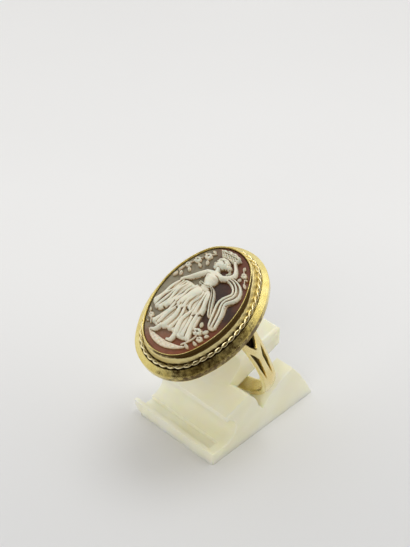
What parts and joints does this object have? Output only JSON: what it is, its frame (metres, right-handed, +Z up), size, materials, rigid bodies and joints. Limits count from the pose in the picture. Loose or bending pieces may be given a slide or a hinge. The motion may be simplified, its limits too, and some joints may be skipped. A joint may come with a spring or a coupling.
{
  "type": "cameo ring on a display stand",
  "caption": "Gold ring with a large oval shell cameo in a stepped, rope-edged bezel and fluted forked shoulders, hung on the finger of a small ivory plastic display stand.",
  "frame": {"origin": "on the floor under the stand, in the middle of its width and 8.5 mm behind its front edge", "axes": "+X to the right along the stand's front edge, +Y from the front edge to the back, +Z up; the ring leans forward over the front edge"},
  "size_m": [0.0194, 0.0282, 0.0301],
  "materials": {
    "gold": "polished yellow gold with fine wear scratches",
    "shell": "carved shell, ivory white relief on a polished brown ground",
    "ivory_plastic": "glossy moulded ivory plastic"
  },
  "bodies": {
    "root": {"gold_ring": "gold", "cameo": "shell", "display_stand": "ivory_plastic"}
  },
  "joints": []
}
